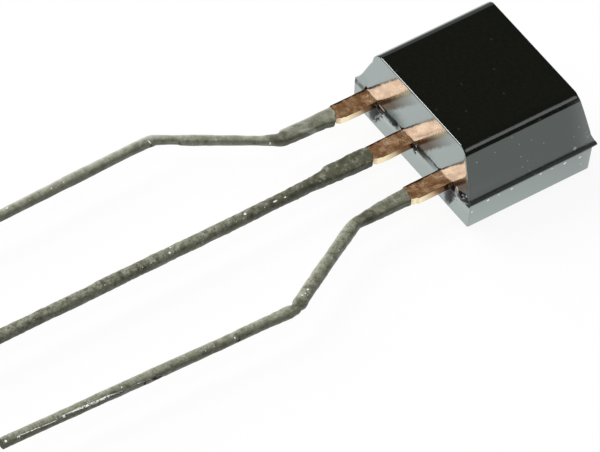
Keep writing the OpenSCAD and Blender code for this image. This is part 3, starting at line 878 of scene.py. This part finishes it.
def wear(work, centre):
    """Rounds a lead's edges, and cuts up its bare stretch and dents it."""
    bmesh.ops.remove_doubles(work, verts=work.verts, dist=WELD)
    bmesh.ops.dissolve_limit(work, angle_limit=math.radians(1), verts=work.verts, edges=work.edges)
    sharp = [e for e in work.edges if len(e.link_faces) == 2 and e.calc_face_angle() > math.radians(30)]
    bmesh.ops.bevel(work, geom=sharp, offset=EDGE_WEAR * MM, offset_type="OFFSET", segments=4, profile=0.5,
                    affect="EDGES", clamp_overlap=True)
    start, end = LEAD_END_Y - BARE_LEN - 0.1, LEAD_END_Y + 0.1
    for y in np.arange(start, end, CUT_STEP):
        cut(work, work.faces[:], 1, y)
    for x in np.arange(centre - STRIP_HALF_W + CUT_STEP, centre + STRIP_HALF_W, CUT_STEP):
        bare = [f for f in work.faces if start - 0.02 < f.calc_center_median().y / MM < end]
        cut(work, bare, 0, x)
    work.normal_update()
    places = np.array([v.co for v in work.verts]) / MM
    depth = DENT * fractal(places * (1, 0.35, 1), 0.12, 21) - DENT / 2
    depth *= step(places[:, 1], start, 0.05) * step(-places[:, 1], -end, 0.05)
    for vert, d in zip(work.verts, depth):
        vert.co += vert.normal * d * MM


def squeeze(work, route):
    """Slims the copper under the solder, so that it doesn't show through, and keeps the sheet flat."""
    for vert in work.verts:
        x, y, z = vert.co / MM
        k = int(np.argmin((route.line[:, 0] - x) ** 2 + (route.line[:, 1] - y) ** 2))
        past = y - route.line[0, 1] if k == 0 else -route.run[k]
        if past > 0.1:
            continue
        share = 1 - CORE_SHRINK * float(step(-past, -0.03, 0.13))
        middle, sideways, height = route.line[k], route.sideways[k], share * route.height[k]
        offset = float((np.array([x, y]) - middle) @ sideways)
        along = np.array([x, y]) - middle - offset * sideways
        offset = min(max(offset, -share * route.minus[k]), share * route.plus[k])
        x, y = middle + along + offset * sideways
        vert.co = Vector((x, y, LEAD_MID_Z + min(max(z - LEAD_MID_Z, -height), height))) * MM
    for vert in work.verts:
        vert.co.z = min(max(vert.co.z, LEAD_LOW[2] * MM), LEAD_HIGH[2] * MM)


def copper_lead(node, centre, route, material):
    """The node's own shape, worn and dented where it is bare and slimmer under the solder."""
    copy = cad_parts[node].data.copy()
    copy.name = node + "_strip"
    work = bmesh.new()
    work.from_mesh(copy)
    wear(work, centre)
    squeeze(work, route)
    bmesh.ops.triangulate(work, faces=[f for f in work.faces if len(f.verts) > 4])
    work.to_mesh(copy)
    work.free()
    copy.shade_smooth()
    copy.set_sharp_from_angle(angle=math.radians(35))
    paint(copy, material)
    dress(linked(copy.name, copy), node)


# ---- Solder ----
# A lead's middle line, sideways directions and run, the solder's half widths towards -X and +X, half height and
# squareness, and how far its start is drawn back towards -X and +X
Route = namedtuple("Route", "line sideways run minus plus height square skew")


def rounded_route(corners, radii, spacing=0.017):
    """Evenly spaced points along a line whose inner corners are rounded to the given radii."""
    corners = [np.array(c, float) for c in corners]
    points = [corners[0]]
    for a, b, c, radius in zip(corners, corners[1:], corners[2:], radii):
        u, v = (b - a) / np.linalg.norm(b - a), (c - b) / np.linalg.norm(c - b)
        turn = math.acos(np.clip(u @ v, -1, 1))
        trim = radius * math.tan(turn / 2)
        for t in np.linspace(0, 1, 25):
            points.append((1 - t) ** 2 * (b - u * trim) + 2 * t * (1 - t) * b + t ** 2 * (b + v * trim))
    points.append(corners[-1])
    points = np.array(points)
    run = np.concatenate([[0], np.cumsum(np.linalg.norm(np.diff(points, axis=0), axis=1))])
    places = np.linspace(0, run[-1], int(run[-1] / spacing))
    return np.stack([np.interp(places, run, points[:, i]) for i in range(2)], axis=-1)


def blend_stations(s, stations):
    """Values between given stations, each a distance along the lead and its values."""
    at = [row[0] for row in stations]
    out = []
    for column in zip(*[row[1:] for row in stations]):
        k = np.clip(np.searchsorted(at, s, side="right") - 1, 0, len(at) - 2)
        left, right = np.array(at)[k], np.array(at)[k + 1]
        t = step(s, left, right - left)
        out.append(np.array(column)[k] * (1 - t) + np.array(column)[k + 1] * t)
    return out


def lead_route(corners, radii, skew, stations):
    """A route from the corners of its line, the radii of its bends and the solder's sizes along it."""
    line = rounded_route(corners, radii)
    heading = np.gradient(line, axis=0)
    heading /= np.linalg.norm(heading, axis=1)[:, None]
    sideways = np.stack([-heading[:, 1], heading[:, 0]], axis=-1)
    run = np.concatenate([[0], np.cumsum(np.linalg.norm(np.diff(line, axis=0), axis=1))])
    return Route(line, sideways, run, *blend_stations(run, stations), skew)


def shrunk(ring, share, shift):
    """A ring made smaller and moved along Y, to round off an end."""
    middle = ring.mean(axis=1, keepdims=True)
    return middle + (ring - middle) * share + (0, shift, 0)


def solder_coat(name, node, route, material, seed, lump, around=64):
    """Solder over one lead, as a swept tube with lumps and a ragged start."""
    line, sideways, run = route.line, route.sideways, route.run
    angle = np.arange(around) / around * 2 * math.pi
    c, s = np.cos(angle)[None, :], np.sin(angle)[None, :]
    power = 2 / route.square[:, None]
    across = np.sign(c) * np.abs(c) ** power * np.where(c > 0, route.plus[:, None], route.minus[:, None])
    up = np.sign(s) * np.abs(s) ** power * route.height[:, None]
    outward = np.stack([across * sideways[:, :1], across * sideways[:, 1:], up], axis=-1)
    p = np.column_stack([line, np.full(len(line), LEAD_MID_Z)])[:, None] + outward
    outward /= np.linalg.norm(outward, axis=-1)[..., None]
    lumps = 0.009 * fractal(p * (1, 0.5, 1), 0.42, seed) + lump * fractal(p, 0.1, seed + 5) - 0.003
    ends = step(run, 0, 0.05) * step(run[-1] - run, 0, 0.08)
    p += outward * (lumps * ends[:, None])[..., None]
    aside = np.clip(across / STRIP_HALF_W, -1, 1)
    skew_minus, skew_plus = route.skew
    drawn_back = np.where(aside > 0, skew_plus, skew_minus) * np.abs(aside)
    start = 0.03 * fractal(p * (1, 0, 1), 0.16, seed + 9) - drawn_back
    p[..., 1] += start * step(-run, -0.5, 0.5)[:, None]
    roots = [shrunk(p[:1], *sizes) for sizes in ((0.6, 0.008), (0.97, 0.006))]
    tips = [shrunk(p[-1:], *sizes) for sizes in ((0.96, -0.012), (0.85, -0.02), (0.5, -0.022))]
    p = np.concatenate(roots + [p] + tips)
    count = len(p)
    p = p.reshape(-1, 3)
    verts = np.vstack([p, p[:around].mean(axis=0), p[-around:].mean(axis=0)])
    i = np.arange(around)
    j = (i + 1) % around
    last = (count - 1) * around
    faces = wrap_faces(count, around)[:, ::-1].tolist()
    faces += np.stack([i, j, np.full(around, len(p))], axis=-1).tolist()
    faces += np.stack([last + j, last + i, np.full(around, len(p) + 1)], axis=-1).tolist()
    low, high = box_mm(node)
    verts = np.clip(verts, low, high)
    dress(new_mesh(name, verts, faces, material), node)


def side_corners(x, spread_start, spread, spread_end, lean):
    """Corners of a side lead's line, from the bare copper to the tip."""
    outer = x + spread
    drift = -math.copysign(math.tan(math.radians(lean)), spread)
    end_y = LEAD_END_Y - spread_end
    return [(x, LEAD_END_Y - BARE_LEN), (x, LEAD_END_Y - spread_start), (outer, end_y),
            (outer + drift * (end_y - TIP_Y), TIP_Y)]


def lead_routes():
    """Each lead's route. A station is a distance, two half widths, a half height and a squareness."""
    middle = [(LEAD_X[1], LEAD_END_Y - BARE_LEN), (LEAD_X[1], TIP_Y)]
    return {
        "emitter": lead_route(side_corners(LEAD_X[0], 2.14, -1.4, 4.35, 1.1), (0.3, 0.5), (0, 0.16), [
            (0, 0.205, 0.19, 0.1, 5), (0.3, 0.215, 0.15, 0.1, 4.5), (0.6, 0.215, 0.14, 0.105, 3.5),
            (1.0, 0.225, 0.125, 0.11, 3), (1.18, 0.24, 0.12, 0.11, 2.5), (1.45, 0.165, 0.108, 0.11, 2),
            (1.75, 0.108, 0.108, 0.11, 2), (3.28, 0.108, 0.108, 0.11, 2), (3.36, 0.108, 0.085, 0.105, 2),
            (3.78, 0.112, 0.09, 0.105, 2), (3.88, 0.12, 0.12, 0.12, 2), (20, 0.12, 0.12, 0.12, 2)]),
        "collector": lead_route(middle, (), (-0.05, 0.13), [
            (0, 0.225, 0.19, 0.1, 5), (0.35, 0.25, 0.185, 0.105, 4.5), (0.8, 0.245, 0.175, 0.115, 3.5),
            (0.98, 0.25, 0.16, 0.115, 3.2), (1.15, 0.19, 0.14, 0.12, 3), (1.55, 0.15, 0.115, 0.14, 2.2),
            (2.2, 0.14, 0.13, 0.14, 2), (3.0, 0.135, 0.15, 0.14, 2), (20, 0.14, 0.145, 0.145, 2)]),
        "base": lead_route(side_corners(LEAD_X[2], 2.16, 1.235, 4.46, 1.8), (0.3, 0.08), (-0.05, 0.05), [
            (0, 0.21, 0.17, 0.1, 5), (0.12, 0.2, 0.155, 0.1, 4.5), (0.35, 0.19, 0.155, 0.105, 4),
            (0.6, 0.165, 0.165, 0.115, 3.5), (0.95, 0.13, 0.165, 0.12, 2.5), (1.2, 0.09, 0.15, 0.12, 2.3),
            (1.55, 0.13, 0.145, 0.13, 2.2), (3.5, 0.145, 0.145, 0.135, 2), (3.72, 0.15, 0.165, 0.135, 2),
            (3.84, 0.115, 0.12, 0.12, 2), (3.92, 0.11, 0.12, 0.12, 2), (4.04, 0.14, 0.135, 0.13, 2),
            (4.6, 0.12, 0.12, 0.12, 2), (20, 0.12, 0.12, 0.12, 2)]),
    }


# ---- Studio ----
def floor_material():
    """White to the camera, with a faint shadow. Mirrored, it fades ahead of the part and to its right."""
    s = Shader("white_sweep")
    s.tree.nodes.remove(s.surface)
    x, y, _ = s.axes()
    aside = s.most(x, 0)
    behind = s.most(s.plus(s.times(y, 0.4), 1.8), 0)
    away = s.maths("SQRT", s.plus(s.times(aside, aside), s.times(behind, behind)))
    ahead = s.plus(s.times(x, -0.6), s.times(y, -0.8))
    faded = s.times(s.ranged(away, *FADE_AWAY), s.ranged(ahead, *FADE_AHEAD))
    path = s.add("LightPath").outputs
    to_camera = path["Is Camera Ray"]
    seen = s.most(to_camera, path["Is Glossy Ray"], path["Is Transmission Ray"])
    glow = s.add("Emission", Color=s.mix(to_camera, MIRRORED_PAPER, WHITE), Strength=s.most(faded, to_camera))
    sheet = s.add("MixShader", Fac=s.times(seen, GLOW_SHARE))
    s.put(sheet.inputs[1], s.add("BsdfDiffuse", Color=PAPER))
    s.put(sheet.inputs[2], glow)
    s.put(s.tree.nodes["Material Output"].inputs["Surface"], sheet)
    return s.material


def make_floor():
    """A flat disc whose rim turns up a little."""
    around, flat_r, rim_r = 96, 300, 60
    profile = [(r, 0) for r in (20, 60, 150, flat_r)]
    profile += [(flat_r + rim_r * math.sin(a), rim_r * (1 - math.cos(a)))
                for a in np.linspace(0.1, math.radians(40), 8)]
    turns = [2 * math.pi * i / around for i in range(around)]
    verts = np.array([(r * math.cos(a), r * math.sin(a), z) for r, z in profile for a in turns])
    faces = [list(range(around))] + wrap_faces(len(profile), around)[:, ::-1].tolist()
    new_mesh("floor", verts, faces, floor_material())


def soft_lamp(name, direction, distance, size, radiance, mirrored):
    """A square area lamp that faces the object."""
    data = bpy.data.lights.new(name, "AREA")
    data.shape = "SQUARE"
    data.size = size * MM
    data.energy = radiance * math.pi * (size * MM) ** 2
    lamp = linked(name, data)
    away = Vector(direction).normalized()
    lamp.location = away * distance * MM
    lamp.rotation_euler = away.to_track_quat("Z", "Y").to_euler()
    lamp.visible_glossy = mirrored


def make_world():
    """A dim, even world."""
    world = bpy.data.worlds.new("dim_studio")
    bpy.context.scene.world = world
    world.use_nodes = True
    world.node_tree.nodes["Background"].inputs["Color"].default_value = (*WORLD, 1)


def make_camera(azimuth=51.479, elevation=48.606, roll=4.903, distance=199.04,
                aim=(0.5853, -4.6269, 0.61), lens=605.47, sensor=36):
    """The photo's camera. It looks at aim from azimuth and elevation in degrees, and leans by roll."""
    a, e, r = (math.radians(v) for v in (azimuth, elevation, roll))
    back = Vector((math.sin(a) * math.cos(e), -math.cos(a) * math.cos(e), math.sin(e)))
    level = Vector((math.cos(a), math.sin(a), 0))
    upright = back.cross(level)
    right = level * math.cos(r) + upright * math.sin(r)
    up = upright * math.cos(r) - level * math.sin(r)
    data = bpy.data.cameras.new("camera")
    data.sensor_width = sensor
    data.lens = lens
    data.clip_start = 10 * MM
    data.clip_end = 5
    camera = linked("camera", data)
    turned = Matrix((right, up, back)).transposed().to_4x4()
    camera.matrix_world = Matrix.Translation((Vector(aim) + back * distance) * MM) @ turned
    bpy.context.scene.camera = camera


# ---- The whole scene ----
resin_body(resin_material())
copper = copper_material()
for i, (lead, route) in enumerate(lead_routes().items()):
    look = LOOKS[lead]
    copper_lead(lead + "_lead", LEAD_X[i], route, copper)
    solder = solder_material(lead + "_tin", look)
    solder_coat(lead + "_coat", lead + "_solder", route, solder, 40 + 20 * i, look["lump"])
gold = gold_material()
sealed = {"silicon_die": silicon_material(), "die_bond": bond_material(),
          "emitter_wire": gold, "base_wire": gold}
for node, material in sealed.items():
    paint(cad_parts[node].data, material)

make_floor()
make_world()
for name, lamp in LAMPS.items():
    soft_lamp(name, *lamp)
make_camera()
bpy.context.scene.view_settings.view_transform = "Standard"
